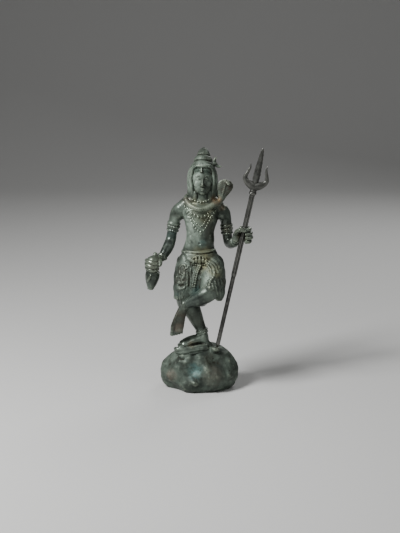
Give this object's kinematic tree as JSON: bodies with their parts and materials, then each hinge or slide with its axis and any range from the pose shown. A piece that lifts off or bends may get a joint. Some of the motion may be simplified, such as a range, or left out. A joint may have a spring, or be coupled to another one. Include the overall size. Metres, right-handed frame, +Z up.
{
  "type": "shiva figure",
  "caption": "Cast bronze figure of a dancing Shiva on a rocky base, holding an upright trident and a hanging water gourd.",
  "frame": {"origin": "centre of the rock's flat underside", "axes": "+Z up, the figure faces -Y, +X is the side of the trident"},
  "size_m": [0.1232, 0.0673, 0.2507],
  "materials": {
    "green_bronze": "dark cast bronze with a thin green and brown patina, polished by handling on the raised forms",
    "grey_bronze": "darker, greyer cast bronze with worn edges"
  },
  "bodies": {
    "root": {"figure_on_rock": "green_bronze", "trident": "grey_bronze"}
  },
  "joints": []
}
